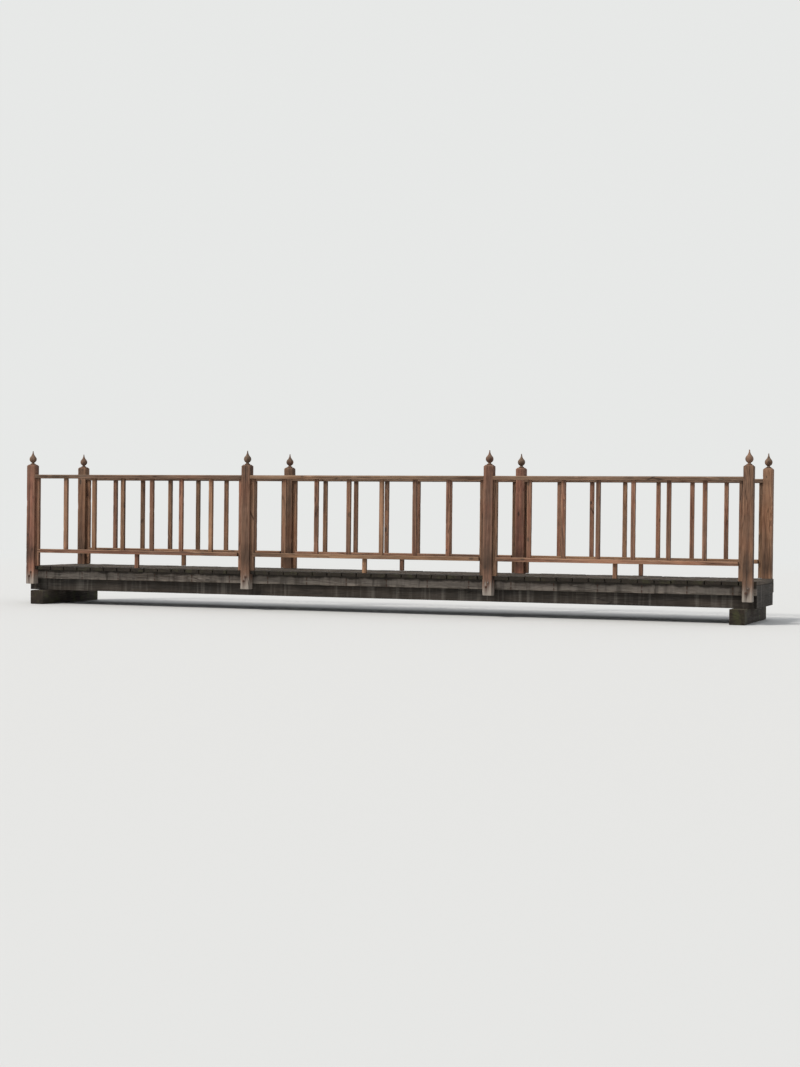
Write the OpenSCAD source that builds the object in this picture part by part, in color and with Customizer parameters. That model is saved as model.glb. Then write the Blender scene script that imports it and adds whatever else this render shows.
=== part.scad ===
// Timber footbridge: a plank deck on stringers, with three bays of railing on each side.
// The span runs along X, the front railing is on the side of -Y, and Z is up.
// The origin is under the middle of the bridge, at the height where its sills rest.

/* [Span] */
// Length of the deck and of the rim boards
deck_l = 7315; // [5400:5:9000]
// Middle bay, from post centre to post centre
middle_bay = 2438; // [1500:1:3000]
// End of the deck to the centre of the end posts
post_inset = 67; // [60:1:160]

/* [Deck] */
// Clear width to walk on, between the posts
walk_w = 914; // [700:1:1500]
// Width of a deck plank
plank_w = 140; // [90:1:190]
// Thickness of a deck plank
plank_t = 38; // [25:1:50]
// Gap wished for between planks, which the whole number of planks then adjusts
plank_gap = 9; // [4:1:15]
// Gap left round a post where a plank is notched
notch_clear = 3; // [1:0.5:6]

/* [Frame] */
// Thickness of the stringers, headers, blocking and rim boards
joist_t = 38; // [30:1:60]
// Depth of the stringers, headers and blocking
stringer_h = 203; // [180:1:300]
// Depth of the rim boards
rim_h = 89; // [80:1:120]
// Side of the square sill under each end
sill_s = 140; // [90:1:200]
// How far a sill runs out past the rim boards
sill_overhang = 95; // [20:1:300]
// End of the deck to the middle of the sill
sill_inset = 150; // [110:1:400]
// Centre of a middle post to the centre of the blocking beside it, which leaves room for the bolts
block_shift = 64; // [55:1:200]

/* [Posts] */
// Side of the square posts
post_w = 89; // [75:1:120]
// How far the posts reach below the rim boards
post_drop = 53; // [0:1:58]
// How far the posts stand proud of the ends of the planks
post_proud = 19; // [0:1:22]
// Post above the handrails, up to its flat top
post_stub = 101; // [60:1:200]
// Chamfer round the top of a post
post_chamfer = 14; // [4:1:16]

/* [Finials] */
// Height of a turned finial, foot to tip
finial_h = 135; // [110:1:150]
// Diameter of its ball
ball_d = 72; // [60:1:78]
// Diameter of its neck
neck_d = 28; // [20:1:30]
// Diameter of its foot
foot_d = 54; // [52:1:58]
// Height of its foot
foot_h = 8; // [4:1:10]
// Height of its neck, between the foot and the ball
neck_h = 12; // [10:1:14]
// Radius of the cove from the foot to the neck
cove_r = 10; // [5:1:10]
// Diameter of its rounded tip
tip_d = 10; // [6:1:16]

/* [Railing] */
// Top of the handrails over the deck
rail_h = 914; // [700:1:1100]
// Width of the rails, which lie flat
rail_w = 89; // [60:1:89]
// Thickness of the rails
rail_t = 38; // [25:1:50]
// Chamfer along the top edges of the handrails
rail_chamfer = 6; // [2:1:12]
// Space under the bottom rails
rail_gap = 133; // [60:1:200]
// Side of the square balusters, end stiles and rail blocks
baluster_s = 38; // [30:1:45]
// Balusters in a bay, between its end stiles
balusters = 6; // [3:1:9]

/* [Hidden] */
$fn = 48;

// Signs of the two sides and of the two ends
front = -1;
back = 1;
left = -1;
right = 1;

// Posts along the span, from left to right, and the bays between them
end_post_x = deck_l / 2 - post_inset;
inner_post_x = middle_bay / 2;
post_x = [-end_post_x, -inner_post_x, inner_post_x, end_post_x];
left_bay = 0;
middle_bay_no = 1;
right_bay = 2;

// Heights, from the ground up
stringer_z = sill_s;
joist_top_z = stringer_z + stringer_h;
rim_z = joist_top_z - rim_h;
walk_z = joist_top_z + plank_t;
bottom_rail_z = walk_z + rail_gap;
handrail_top_z = walk_z + rail_h;
handrail_z = handrail_top_z - rail_t;
post_foot_z = rim_z - post_drop;
post_top_z = handrail_top_z + post_stub;

// Distances from the bridge's centre line
rim_y = walk_w / 2;
post_y = rim_y + post_w / 2;
plank_end_y = rim_y + post_w - post_proud;
sill_end_y = rim_y + sill_overhang;
stringer_y = rim_y - 1.5 * joist_t;

// Planks: a whole number, spread evenly from end to end
planks = round((deck_l + plank_gap) / (plank_w + plank_gap));
plank_pitch = (deck_l - plank_w) / (planks - 1);
deck_third = floor(planks / 3);
notch_half = post_w / 2 + notch_clear;
over = 1;

// Colours of weathered wood
deck_grey = [0.36, 0.31, 0.26];
frame_brown = [0.30, 0.25, 0.21];
rim_grey = [0.42, 0.37, 0.33];
post_red = [0.40, 0.29, 0.24];
rail_brown = [0.44, 0.33, 0.25];
sill_dark = [0.24, 0.20, 0.17];

// A squared timber between its lowest and its highest corner
module timber(low, high) {
    translate(low)
        cube(high - low);
}

// Timber that lies across under one end of the stringers
module sill(end) {
    x = end * (deck_l / 2 - sill_inset);
    color(sill_dark)
        timber([x - sill_s / 2, -sill_end_y, 0], [x + sill_s / 2, sill_end_y, sill_s]);
}

// Beam along the span, ending against the headers
module stringer(y) {
    half_l = deck_l / 2 - joist_t;
    color(frame_brown)
        timber([-half_l, y - joist_t / 2, stringer_z], [half_l, y + joist_t / 2, joist_top_z]);
}

// Board that closes the ends of the stringers, between the rim boards
module header(end) {
    x = end * (deck_l - joist_t) / 2;
    half_w = rim_y - joist_t;
    color(frame_brown)
        timber([x - joist_t / 2, -half_w, stringer_z], [x + joist_t / 2, half_w, joist_top_z]);
}

// Pair of blocks that brace the stringers against each other
module blocking(x) {
    inner_y = joist_t / 2;
    outer_y = stringer_y - joist_t / 2;
    color(frame_brown)
        for (side = [front, back])
            scale([1, side, 1])
                timber([x - joist_t / 2, inner_y, stringer_z], [x + joist_t / 2, outer_y, joist_top_z]);
}

// Board on the outer face of a side stringer, which carries the posts
module rim_board(side) {
    y = side * (rim_y - joist_t / 2);
    color(rim_grey)
        timber([-deck_l / 2, y - joist_t / 2, rim_z], [deck_l / 2, y + joist_t / 2, joist_top_z]);
}

// Room for one post at both edges of the deck; at an end post it is open to the deck's end
module post_notch(x) {
    outer = abs(x) + notch_half;
    far = abs(x) < end_post_x ? outer : deck_l / 2 + over;
    near = abs(x) - notch_half;
    for (side = [front, back])
        scale([sign(x), side, 1])
            timber([near, rim_y - notch_clear, joist_top_z - over],
                   [far, plank_end_y + over, walk_z + over]);
}

// One plank across the deck, notched round the posts that it meets
module plank(i) {
    low = -deck_l / 2 + i * plank_pitch;
    high = low + plank_w;
    difference() {
        timber([low, -plank_end_y, joist_top_z], [high, plank_end_y, walk_z]);
        for (x = post_x)
            if (low < x + notch_half && high > x - notch_half)
                post_notch(x);
    }
}

// Run of planks with even gaps
module deck_planks(first, last) {
    color(deck_grey)
        for (i = [first : last])
            plank(i);
}

// Outline of a post seen from one side, with its chamfered top
module post_outline() {
    half = post_w / 2;
    polygon([
        [-half, post_foot_z],
        [half, post_foot_z],
        [half, post_top_z - post_chamfer],
        [half - post_chamfer, post_top_z],
        [-half + post_chamfer, post_top_z],
        [-half, post_top_z - post_chamfer]
    ]);
}

// Post against the rim board, chamfered on all four edges of its top
module post(side, x) {
    color(post_red)
        translate([x, side * post_y, 0])
            intersection_for (turn = [0, 90])
                rotate([90, 0, turn])
                    linear_extrude(height = post_w, center = true)
                        post_outline();
}

// Half outline of a finial: foot, cove, neck, ball, and a hollow curve up to a rounded tip
module finial_outline() {
    ball_r = ball_d / 2;
    neck_r = neck_d / 2;
    tip_r = tip_d / 2;
    // The neck runs up into the ball.
    ball_z = foot_h + neck_h + sqrt(ball_r * ball_r - neck_r * neck_r);
    tip_z = finial_h - tip_r;
    // The hollow is an arc that touches the ball, and ends upright where the tip's round begins.
    rise = tip_z - ball_z;
    hollow_r = (rise * rise - ball_r * ball_r + tip_r * tip_r) / (2 * (ball_r - tip_r));
    touch = ball_r / (ball_r + hollow_r);
    square([foot_d / 2, foot_h]);
    difference() {
        translate([0, foot_h])
            square([neck_r + cove_r, cove_r]);
        translate([neck_r + cove_r, foot_h + cove_r])
            circle(r = cove_r);
    }
    square([neck_r, ball_z]);
    intersection() {
        translate([0, ball_z])
            circle(r = ball_r);
        translate([0, foot_h])
            square([ball_r, finial_h]);
    }
    difference() {
        polygon([
            [0, ball_z],
            [touch * (tip_r + hollow_r), ball_z + touch * rise],
            [tip_r, tip_z],
            [0, tip_z]
        ]);
        translate([tip_r + hollow_r, tip_z])
            circle(r = hollow_r);
    }
    intersection() {
        translate([0, tip_z])
            circle(r = tip_r);
        translate([0, ball_z])
            square([tip_r, finial_h]);
    }
}

// Turned finials on the posts of one side
module finials(side) {
    color(post_red)
        for (x = post_x)
            translate([x, side * post_y, post_top_z])
                rotate_extrude()
                    finial_outline();
}

// Handrail between two posts, on top of the stiles and balusters of its bay
module handrail(side, bay) {
    half = rail_w / 2;
    rail_l = post_x[bay + 1] - post_x[bay] - post_w;
    color(rail_brown)
        translate([post_x[bay] + post_w / 2, side * post_y, handrail_z])
            rotate([90, 0, 90])
                linear_extrude(height = rail_l)
                    polygon([
                        [-half, 0],
                        [half, 0],
                        [half, rail_t - rail_chamfer],
                        [half - rail_chamfer, rail_t],
                        [-half + rail_chamfer, rail_t],
                        [-half, rail_t - rail_chamfer]
                    ]);
}

// Flat rail between the end stiles of a bay, under its balusters
module bottom_rail(side, bay) {
    low = post_x[bay] + post_w / 2 + baluster_s;
    high = post_x[bay + 1] - post_w / 2 - baluster_s;
    y = side * post_y;
    color(rail_brown)
        timber([low, y - rail_w / 2, bottom_rail_z], [high, y + rail_w / 2, bottom_rail_z + rail_t]);
}

// Square stick in the middle plane of a railing
module stick(side, x, low_z, high_z) {
    y = side * post_y;
    half = baluster_s / 2;
    timber([x - half, y - half, low_z], [x + half, y + half, high_z]);
}

// End stiles from deck to handrail, and evenly spaced balusters from rail to rail
module bay_balusters(side, bay) {
    first = post_x[bay] + (post_w + baluster_s) / 2;
    last = post_x[bay + 1] - (post_w + baluster_s) / 2;
    step = (last - first) / (balusters + 1);
    color(rail_brown) {
        stick(side, first, walk_z, handrail_z);
        stick(side, last, walk_z, handrail_z);
        for (i = [1 : balusters])
            stick(side, first + i * step, bottom_rail_z + rail_t, handrail_z);
    }
}

// Short blocks that hold up the middle of each bottom rail
module rail_blocks(side) {
    color(rail_brown)
        for (bay = [left_bay : right_bay])
            stick(side, (post_x[bay] + post_x[bay + 1]) / 2, walk_z, bottom_rail_z);
}

sill(left);  // left_sill
sill(right);  // right_sill
stringer(-stringer_y);  // front_stringer
stringer(0);  // middle_stringer
stringer(stringer_y);  // back_stringer
header(left);  // left_header
header(right);  // right_header
blocking(-inner_post_x - block_shift);  // left_blocking
blocking(0);  // middle_blocking
blocking(inner_post_x + block_shift);  // right_blocking
rim_board(front);  // front_rim_board
rim_board(back);  // back_rim_board
deck_planks(0, deck_third - 1);  // left_deck_planks
deck_planks(deck_third, planks - deck_third - 1);  // middle_deck_planks
deck_planks(planks - deck_third, planks - 1);  // right_deck_planks
post(front, -end_post_x);  // front_left_end_post
post(front, -inner_post_x);  // front_left_post
post(front, inner_post_x);  // front_right_post
post(front, end_post_x);  // front_right_end_post
post(back, -end_post_x);  // back_left_end_post
post(back, -inner_post_x);  // back_left_post
post(back, inner_post_x);  // back_right_post
post(back, end_post_x);  // back_right_end_post
handrail(front, left_bay);  // front_left_handrail
handrail(front, middle_bay_no);  // front_middle_handrail
handrail(front, right_bay);  // front_right_handrail
handrail(back, left_bay);  // back_left_handrail
handrail(back, middle_bay_no);  // back_middle_handrail
handrail(back, right_bay);  // back_right_handrail
bottom_rail(front, left_bay);  // front_left_bottom_rail
bottom_rail(front, middle_bay_no);  // front_middle_bottom_rail
bottom_rail(front, right_bay);  // front_right_bottom_rail
bottom_rail(back, left_bay);  // back_left_bottom_rail
bottom_rail(back, middle_bay_no);  // back_middle_bottom_rail
bottom_rail(back, right_bay);  // back_right_bottom_rail
bay_balusters(front, left_bay);  // front_left_balusters
bay_balusters(front, middle_bay_no);  // front_middle_balusters
bay_balusters(front, right_bay);  // front_right_balusters
bay_balusters(back, left_bay);  // back_left_balusters
bay_balusters(back, middle_bay_no);  // back_middle_balusters
bay_balusters(back, right_bay);  // back_right_balusters
rail_blocks(front);  // front_rail_blocks
rail_blocks(back);  // back_rail_blocks
finials(front);  // front_finials
finials(back);  // back_finials
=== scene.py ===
"""A weathered timber footbridge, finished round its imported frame. Lengths are in metres."""
import math

import bpy
import numpy as np
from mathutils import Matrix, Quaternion, Vector


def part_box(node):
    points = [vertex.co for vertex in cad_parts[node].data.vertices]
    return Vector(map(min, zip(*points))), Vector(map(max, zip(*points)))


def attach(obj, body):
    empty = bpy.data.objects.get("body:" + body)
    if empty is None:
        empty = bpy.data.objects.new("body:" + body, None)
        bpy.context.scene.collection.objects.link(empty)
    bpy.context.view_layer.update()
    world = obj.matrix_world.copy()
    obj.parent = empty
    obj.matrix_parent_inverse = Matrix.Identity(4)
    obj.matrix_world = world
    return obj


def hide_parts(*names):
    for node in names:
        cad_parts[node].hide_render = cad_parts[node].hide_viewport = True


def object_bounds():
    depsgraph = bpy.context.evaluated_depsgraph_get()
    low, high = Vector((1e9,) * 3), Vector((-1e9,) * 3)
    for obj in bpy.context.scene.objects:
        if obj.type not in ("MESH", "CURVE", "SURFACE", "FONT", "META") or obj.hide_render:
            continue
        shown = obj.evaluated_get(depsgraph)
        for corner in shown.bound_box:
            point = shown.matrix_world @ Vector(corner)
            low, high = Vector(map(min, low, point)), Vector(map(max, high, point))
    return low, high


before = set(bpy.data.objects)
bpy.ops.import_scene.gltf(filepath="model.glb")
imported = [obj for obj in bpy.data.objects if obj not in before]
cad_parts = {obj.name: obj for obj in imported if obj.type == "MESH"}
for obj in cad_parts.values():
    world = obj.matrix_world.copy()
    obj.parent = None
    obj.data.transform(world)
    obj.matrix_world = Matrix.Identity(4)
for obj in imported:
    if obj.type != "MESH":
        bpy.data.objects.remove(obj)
cad_low, cad_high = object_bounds()
scene = bpy.context.scene
scene.view_settings.view_transform = "Standard"

# The view: the eye stands where the photograph was taken from, in front of the bridge and towards its
# right-hand end, about half a metre above the deck. The lens is longer, so that the bridge fills the width,
# and the frame leans a little, as the photograph does.
photo_w, photo_h = 800, 1067
view_azimuth = math.radians(21.0)
view_distance = 18.1
eye_over_deck = 0.55
lean = math.radians(0.6)
width_filled = 0.94

deck_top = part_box("middle_deck_planks")[1].z
eye = Vector((
    math.sin(view_azimuth) * view_distance,
    -math.cos(view_azimuth) * view_distance,
    deck_top + eye_over_deck,
))
corners = np.array([[x, y, z] for x in (cad_low.x, cad_high.x)
                    for y in (cad_low.y, cad_high.y) for z in (cad_low.z, cad_high.z)])
rays = corners - np.array(eye)
bearing = np.arctan2(rays[:, 0], rays[:, 1])
rise = rays[:, 2] / np.hypot(rays[:, 0], rays[:, 1])
middle_bearing = (bearing.min() + bearing.max()) / 2
middle_rise = (rise.min() + rise.max()) / 2
half_width = math.tan((bearing.max() - bearing.min()) / 2)

camera_data = bpy.data.cameras.new("camera")
camera_data.sensor_width = 36.0
camera_data.lens = camera_data.sensor_width * photo_w / photo_h / 2 / half_width * width_filled
camera_data.clip_end = 200.0
camera = bpy.data.objects.new("camera", camera_data)
scene.collection.objects.link(camera)
scene.camera = camera
aim = Vector((math.sin(middle_bearing), math.cos(middle_bearing), middle_rise))
camera.location = eye
camera.rotation_mode = "QUATERNION"
camera.rotation_quaternion = aim.to_track_quat("-Z", "Y") @ Quaternion((0, 0, 1), lean)

# The studio: a plain pale floor that fades into the background far from the bridge, one broad lamp from the
# upper left, and an even pale surround.
backdrop_colour = (0.80, 0.81, 0.80, 1.0)
floor_colour = (0.70, 0.70, 0.69, 1.0)
floor_radius, floor_sides = 60.0, 64
fade_near, fade_far = 9.0, 26.0
sky_colour = (0.93, 0.96, 1.0, 1.0)
lamp_colour = (1.0, 0.965, 0.91)
lamp_way = Vector((0.62, 0.72, -0.95))
# Most of a noise's values lie in this spread, round its middle.
noise_spread, noise_middle = (0.3, 0.7), 0.5


class Finish:
    """A material, whose nodes are added by short calls. An input that is given as a socket is linked, and any
    other value is set on the node's own socket."""

    def __init__(self, tree_owner):
        tree_owner.use_nodes = True
        self.owner = tree_owner
        self.tree = tree_owner.node_tree

    def node(self, kind, inputs, **settings):
        """A node with its settings and its inputs."""
        made = self.tree.nodes.new(kind)
        for key, value in settings.items():
            setattr(made, key, value)
        for key, value in inputs.items():
            self.feed(made.inputs[key], value)
        return made

    def feed(self, socket, value):
        """Links a socket, or sets it."""
        if isinstance(value, bpy.types.NodeSocket):
            self.tree.links.new(value, socket)
        else:
            socket.default_value = value

    def space(self):
        """Places on the object, in metres."""
        return self.node("ShaderNodeTexCoord", {}).outputs["Object"]

    def attribute(self, name, output="Fac"):
        """One of the mesh's own attributes."""
        return self.node("ShaderNodeAttribute", {}, attribute_name=name).outputs[output]

    def part(self, vector, axis):
        """One coordinate of a vector."""
        return self.node("ShaderNodeSeparateXYZ", {0: vector}).outputs[axis]

    def length(self, vector):
        """Length of a vector."""
        return self.node("ShaderNodeVectorMath", {0: vector}, operation="LENGTH").outputs["Value"]

    def joined(self, first, second):
        """Vector from its first two coordinates."""
        return self.node("ShaderNodeCombineXYZ", {0: first, 1: second}).outputs[0]

    def math(self, operation, first, second=0.0):
        """Two values joined by an operation."""
        return self.node("ShaderNodeMath", {0: first, 1: second}, operation=operation).outputs[0]

    def plus(self, total, *others):
        """Sum of values."""
        for other in others:
            total = self.math("ADD", total, other)
        return total

    def times(self, product, *others):
        """Product of values."""
        for other in others:
            product = self.math("MULTIPLY", product, other)
        return product

    def apart(self, first, second):
        """Distance between two values."""
        return self.math("ABSOLUTE", self.math("SUBTRACT", first, second))

    def stretched(self, vector, scales):
        """Coordinates times a scale on each axis."""
        return self.node("ShaderNodeVectorMath", {0: vector, 1: scales}, operation="MULTIPLY").outputs[0]

    def noise(self, vector, scales, detail=3.0):
        """Noise from 0 to 1, with a number of blotches to a metre on each axis."""
        inputs = {"Vector": self.stretched(vector, scales), "Scale": 1.0, "Detail": detail}
        return self.node("ShaderNodeTexNoise", inputs).outputs["Fac"]

    def step(self, value, low, high, to_low=0.0, to_high=1.0):
        """Smooth step of a value, from to_low at low to to_high at high."""
        inputs = {"Value": value, "From Min": low, "From Max": high, "To Min": to_low, "To Max": to_high}
        return self.node("ShaderNodeMapRange", inputs, interpolation_type="SMOOTHSTEP").outputs[0]

    def fade(self, value, low, high):
        """Smooth step of a value, from 1 at low to 0 at high."""
        return self.step(value, low, high, 1.0, 0.0)

    def offset(self, noise, reach):
        """Noise spread smoothly from -reach to reach."""
        return self.step(noise, *noise_spread, -reach, reach)

    def mix(self, share, first, second, blend="MIX"):
        """Two colours blended by a share."""
        inputs = {"Fac": share, "Color1": first, "Color2": second}
        return self.node("ShaderNodeMixRGB", inputs, blend_type=blend).outputs[0]

    def bump(self, height, strength, distance):
        """Normal of a surface whose height in shares of a distance is given."""
        inputs = {"Height": height, "Strength": strength, "Distance": distance}
        return self.node("ShaderNodeBump", inputs).outputs[0]

    def chosen(self, share, first, second):
        """Two shaders blended by a share."""
        return self.node("ShaderNodeMixShader", {0: share, 1: first, 2: second}).outputs[0]


world = bpy.data.worlds.new("surround")
scene.world = world
sky = Finish(world)
sky_light = sky.tree.nodes["Background"]
sky_light.inputs["Color"].default_value = sky_colour
sky_light.inputs["Strength"].default_value = 0.60
seen_sky = sky.node("ShaderNodeBackground", {"Color": backdrop_colour})
ray = sky.node("ShaderNodeLightPath", {}).outputs
direct_view = sky.math("MAXIMUM", ray["Is Camera Ray"], ray["Is Glossy Ray"])
sky_choice = sky.chosen(direct_view, sky_light.outputs[0], seen_sky.outputs[0])
sky.feed(sky.tree.nodes["World Output"].inputs["Surface"], sky_choice)

lamp_data = bpy.data.lights.new("broad_lamp", "SUN")
lamp_data.energy = 2.5
lamp_data.angle = math.radians(14.0)
lamp_data.color = lamp_colour
lamp = bpy.data.objects.new("broad_lamp", lamp_data)
scene.collection.objects.link(lamp)
lamp.rotation_mode = "QUATERNION"
lamp.rotation_quaternion = lamp_way.to_track_quat("-Z", "Y")

turns = np.linspace(0, 2 * np.pi, floor_sides, endpoint=False)
floor_points = np.stack([np.cos(turns), np.sin(turns), 0 * turns], 1) * floor_radius
floor_mesh = bpy.data.meshes.new("floor")
floor_mesh.from_pydata(floor_points.tolist(), [], [list(range(len(turns)))])
floor = bpy.data.objects.new("floor", floor_mesh)
scene.collection.objects.link(floor)

matt = Finish(bpy.data.materials.new("studio_floor"))
matt_shader = matt.tree.nodes["Principled BSDF"]
matt_shader.inputs["Base Color"].default_value = floor_colour
matt_shader.inputs["Roughness"].default_value = 0.9
far_off = matt.step(matt.length(matt.space()), fade_near, fade_far)
far_floor = matt.node("ShaderNodeEmission", {"Color": backdrop_colour})
floor_choice = matt.chosen(far_off, matt_shader.outputs[0], far_floor.outputs[0])
matt.feed(matt.tree.nodes["Material Output"].inputs["Surface"], floor_choice)
floor_mesh.materials.append(matt.owner)

# The sills: two squared timbers that lie across the bridge's ends and carry everything else. They are old
# softwood, rough sawn, dark with damp, and split along the grain from their ends.
X, Y, Z = 0, 1, 2
# Solids of one node lie at least this far apart.
apart_by = 1e-4


def solids_along(node, axis):
    """Boxes of a CAD node's separate solids, in order along one axis. Its triangles are sorted by where they
    begin on that axis, and a new solid starts at each one that begins beyond the end of all those before
    it."""
    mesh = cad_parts[node].data
    points = np.empty(len(mesh.vertices) * 3)
    mesh.vertices.foreach_get("co", points)
    corner_numbers = np.empty(len(mesh.polygons) * 3, np.int32)
    mesh.polygons.foreach_get("vertices", corner_numbers)
    triangles = points.reshape(-1, 3)[corner_numbers].reshape(-1, 3, 3)
    low, high = triangles.min(1), triangles.max(1)
    order = np.argsort(low[:, axis])
    low, high = low[order], high[order]
    reached = np.maximum.accumulate(high[:, axis])
    starts = np.flatnonzero(np.r_[True, low[1:, axis] > reached[:-1] + apart_by])
    return np.minimum.reduceat(low, starts), np.maximum.reduceat(high, starts)


# How many sine waves make a ripple, how their lengths spread, and what stretches their mean.
wave_count = 9
wave_spread = 0.6, 1.7
wave_stretch = 2.2


def ripple(points, wavelength, seed):
    """Smooth random height from -1 to 1 at each point: the mean of sine waves of the point's distance along
    random directions, with random phases and wavelengths near the one given, stretched to fill the range."""
    draw = np.random.default_rng(seed)
    directions = draw.normal(size=(wave_count, 3))
    directions /= np.linalg.norm(directions, axis=1, keepdims=True)
    waves = directions * (2 * np.pi / (wavelength * draw.uniform(*wave_spread, (wave_count, 1))))
    heights = np.sin(points @ waves.T + draw.uniform(0, 2 * np.pi, wave_count)).mean(-1)
    return np.clip(heights * wave_stretch, -1, 1)


# A board's outline has four faces. Each begins with the arc of its corner, in four points, and has five
# points more: the lips and the bottom of a check in the wood, and one point halfway to each corner.
face = np.repeat(np.arange(4), 9)
place_on_face = np.tile([-1, -1, -1, -1, -0.5, 0, 0, 0, 0.5], 4)
moves_with_check = np.tile([0, 0, 0, 0, 0.5, 1, 1, 1, 0.5], 4)
check_lip = np.tile([0, 0, 0, 0, 0, -1, 0, 1, 0], 4)
check_bottom = np.tile([0, 0, 0, 0, 0, 0, 1, 0, 0], 4)
on_corner = np.tile([0.6, 1, 1, 0.6, 0, 0, 0, 0, 0], 4)
face_turn = np.radians(90.0 * face)
normal_turn = np.radians(90.0 * face + np.tile([-90, -60, -30, 0, 0, 0, 0, 0, 0], 4))
face_normal = np.stack([np.cos(face_turn), np.sin(face_turn)], 1)
face_run = np.stack([-np.sin(face_turn), np.cos(face_turn)], 1)
outline_normal = np.stack([np.cos(normal_turn), np.sin(normal_turn)], 1)


def ringed_faces(pieces, rings, around):
    """Faces of several closed tubes: quads between neighbouring rings, and a fan to a pole at each end."""
    ring, step = np.meshgrid(np.arange(rings - 1), np.arange(around), indexing="ij")
    after = (step + 1) % around
    quads = np.stack([ring * around + step, ring * around + after,
                      (ring + 1) * around + after, (ring + 1) * around + step], -1).reshape(-1, 4)
    turn = np.arange(around)
    last = (rings - 1) * around
    first_pole = np.full(around, rings * around)
    first_fan = np.stack([first_pole, (turn + 1) % around, turn], 1)
    last_fan = np.stack([last + turn, last + (turn + 1) % around, first_pole + 1], 1)
    shift = (np.arange(pieces) * (rings * around + 2))[:, None, None]
    quads = (quads[None] + shift).reshape(-1, 4)
    fans = (np.concatenate([first_fan, last_fan])[None] + shift).reshape(-1, 3)
    return quads, fans


def closed_tubes(name, grids, attributes):
    """Object of several closed tubes. grids holds their points, by piece, ring and step round it, and each
    attribute holds one value or a vector for each. A pole is the mean of its end ring, and so is its
    value."""
    pieces, rings, around, _ = grids.shape

    def with_poles(values):
        """The grid's values in the mesh's order: rings, then the two poles, piece by piece."""
        poles = np.stack([values[:, 0].mean(1), values[:, -1].mean(1)], 1)
        return np.concatenate([values.reshape(pieces, rings * around, -1), poles], 1)

    points = with_poles(grids).reshape(-1, 3)
    quads, fans = ringed_faces(pieces, rings, around)
    mesh = bpy.data.meshes.new(name)
    mesh.from_pydata(points.tolist(), [], quads.tolist() + fans.tolist())
    for key, values in attributes.items():
        if values.ndim == 4:
            made = mesh.attributes.new(key, "FLOAT_VECTOR", "POINT")
            made.data.foreach_set("vector", with_poles(values).ravel())
        else:
            made = mesh.attributes.new(key, "FLOAT", "POINT")
            whole = np.broadcast_to(values, grids.shape[:3])[..., None]
            made.data.foreach_set("value", with_poles(whole).ravel())
    mesh.shade_smooth()
    tubes = bpy.data.objects.new(name, mesh)
    scene.collection.objects.link(tubes)
    return tubes


end_shares = np.array([0.4, 0.75, 1.0])


def ring_places(length, ends, end_round, step):
    """Where the rings of a board of each length lie: along it, how far in from the faces, and what share of
    the section's size. Three rings close each end, and one rounds its edge by a part of the end's own
    inset."""
    first, last = ends
    spans = max(2, int(round(length.max() / step)))
    inner = first + (length - first - last)[:, None] * np.linspace(0, 1, spans + 1)
    start = np.tile([0, 0, 0, end_round * first], (len(length), 1))
    along = np.concatenate([start, inner, length[:, None] - [end_round * last, 0, 0, 0]], 1)
    inset = np.r_[[first] * 3, end_round * first, np.zeros(spans + 1), end_round * last, [last] * 3]
    return along, inset, np.r_[end_shares, np.ones(spans + 3), end_shares[::-1]]


# Where along a board a check is deepest, as a share of the board's length: at its start, end or middle, how
# often at each, and how far from there.
deepest_at = 0.0, 1.0, 0.5
deepest_odds = 0.35, 0.35, 0.3
deepest_shift = 0.1
# How far along the board a check reaches from there, how deep it is and how fast it closes, how far it lies
# from the middle of the face, and how it wanders.
check_reach = 0.15, 0.45
check_shares = 0.3, 1.0
check_closing = 0.6
check_aside = 0.5
check_wander, check_waves = 0.1, (2, 7)


def open_checks(draw, boards, share, chance):
    """Checks in the faces of boards: where each lies across its face, from -1 to 1, and how deep it is at
    each ring, from 0 to 1. A check is deepest at one end or in the middle, closes with the distance from
    there, and wanders a little as it runs."""
    deepest = draw.choice(deepest_at, (boards, 1, 4), p=deepest_odds)
    deepest = deepest + draw.uniform(-deepest_shift, deepest_shift, (boards, 1, 4))
    reach = draw.uniform(*check_reach, (boards, 1, 4))
    depth = draw.uniform(*check_shares, (boards, 1, 4)) * (draw.random((boards, 1, 4)) < chance)
    depth = depth * np.clip(1 - np.abs(share[..., None] - deepest) / reach, 0, 1) ** check_closing
    place = draw.uniform(-check_aside, check_aside, (boards, 1, 4))
    place = place + check_wander * np.sin(share[..., None] * draw.uniform(*check_waves, (boards, 1, 4)))
    return place[:, :, face], depth[:, :, face]


# How far apart a board's dents, its uneven wear and its relief come. Each face and each board reads these
# patterns so many metres from the last one's.
dent_wavelength = 0.09
wear_wavelength = 0.6
relief_wavelength = 0.25
face_shift, wear_shift, relief_shift = 7.0, 5.0, 3.1
# How corners differ, how dents and uneven wear widen them, and how much of half a section they may take.
corner_spread = 0.7, 1.3
dent_from, dent_growth = 0.5, 2.4
wear_growth = 0.22
corner_most = 0.9


def corner_radii(draw, seed, edge, along, half, number):
    """Radius of the worn corner at each point of the outline: each corner has its own, unevenly worn along
    the board and dented here and there, and no more than the section holds."""
    spot = np.stack(np.broadcast_arrays(along[..., None], face * face_shift, number * wear_shift), -1)
    dents = np.clip(ripple(spot, dent_wavelength, seed + 3) - dent_from, 0, 1) * dent_growth
    radius = edge * draw.uniform(*corner_spread, (len(along), 1, 4))[:, :, face]
    radius = radius * (1 + wear_growth * ripple(spot, wear_wavelength, seed + 1) + dents)
    return np.minimum(radius, half.min(-1)[..., None] * corner_most)


# How far a board's heart lies from its middle, how far it drifts in a metre, and how far apart the boards
# lie in the grain.
heart_aside = 0.01, 0.09
heart_drift = 0.03
grain_shift = 60
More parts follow.
